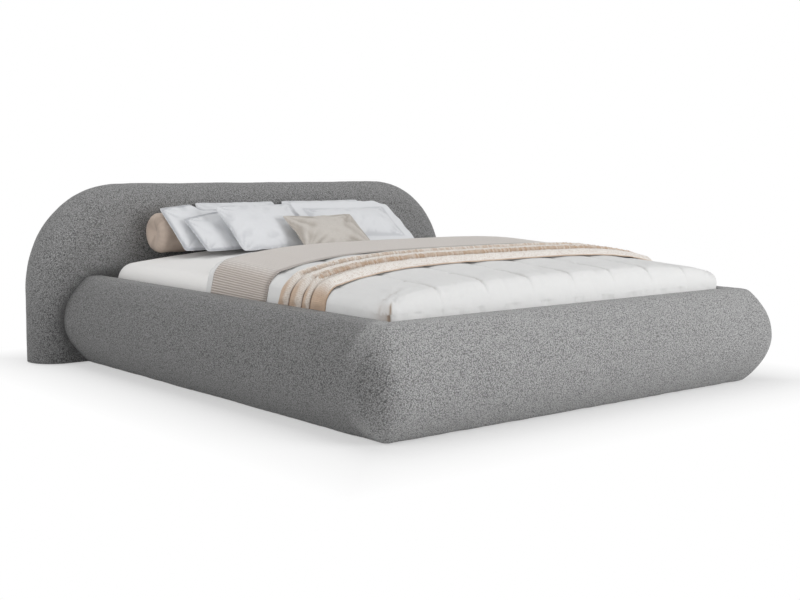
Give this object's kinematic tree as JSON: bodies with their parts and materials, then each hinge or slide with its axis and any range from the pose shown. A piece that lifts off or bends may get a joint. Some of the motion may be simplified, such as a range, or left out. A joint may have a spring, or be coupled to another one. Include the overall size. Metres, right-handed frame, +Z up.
{
  "type": "upholstered_bed",
  "caption": "Upholstered bed in grey boucle with a tall arched headboard and bulging floor-length rails, made up with duvet, blanket, throw and pillows",
  "frame": {"origin": "on the floor, under the middle of the bed's bounding box", "axes": "+X across the bed to the right seen from the foot, +Y along the bed towards the headboard, +Z up"},
  "size_m": [2.432, 2.515, 0.809],
  "materials": {
    "upholstery": "grey boucle",
    "backing_cloth": "plain dark lining cloth",
    "foam": "open-cell foam",
    "board": "unfinished board",
    "ledger_timber": "planed softwood",
    "slat_wood": "laminated beech",
    "black_plastic": "moulded",
    "dark_steel": "powder coated",
    "zinc_steel": "zinc plated",
    "mattress_ticking": "knitted ticking",
    "white_cotton": "plain woven cotton",
    "pillow_cotton": "plain woven cotton",
    "blanket_weave": "ribbed weave",
    "throw_weave": "loose weave with tan stripes",
    "accent_cloth": "soft slub weave",
    "bolster_cloth": "plain woven linen"
  },
  "bodies": {
    "root": {"left_rail_cover": "upholstery", "right_rail_cover": "upholstery", "foot_rail_cover": "upholstery", "headboard_cover": "upholstery", "headboard_back_cover": "backing_cloth", "left_rail_foam": "foam", "right_rail_foam": "foam", "foot_rail_foam": "foam", "headboard_front_pad": "foam", "headboard_rim_foam": "foam", "left_rail_board": "board", "right_rail_board": "board", "foot_rail_board": "board", "left_rail_bottom": "board", "right_rail_bottom": "board", "foot_rail_bottom": "board", "left_rail_formers": "board", "right_rail_formers": "board", "foot_rail_formers": "board", "headboard_front_panel": "board", "headboard_back_panel": "board", "headboard_bottom_rail": "board", "headboard_ribs": "board", "left_ledger": "ledger_timber", "right_ledger": "ledger_timber", "left_slats": "slat_wood", "right_slats": "slat_wood", "side_rail_glides": "black_plastic", "foot_rail_glides": "black_plastic", "headboard_glides": "black_plastic", "outer_slat_holders": "black_plastic", "inner_slat_holders": "black_plastic", "leg_foot_1": "black_plastic", "leg_foot_2": "black_plastic", "leg_foot_3": "black_plastic", "centre_beam": "dark_steel", "foot_beam_hanger": "dark_steel", "head_beam_hanger": "dark_steel", "centre_leg_1": "dark_steel", "centre_leg_2": "dark_steel", "centre_leg_3": "dark_steel", "foot_corner_plates": "zinc_steel", "head_corner_plates": "zinc_steel", "plate_bolts": "zinc_steel", "mattress": "mattress_ticking", "fitted_sheet": "white_cotton", "duvet": "white_cotton", "back_left_pillow": "pillow_cotton", "back_right_pillow": "pillow_cotton", "outer_layer_pillow": "pillow_cotton", "inner_layer_pillow": "pillow_cotton", "plump_pillow": "pillow_cotton", "side_pillow": "pillow_cotton", "blanket": "blanket_weave", "throw": "throw_weave", "accent_pillow": "accent_cloth", "bolster": "bolster_cloth"}
  },
  "joints": []
}
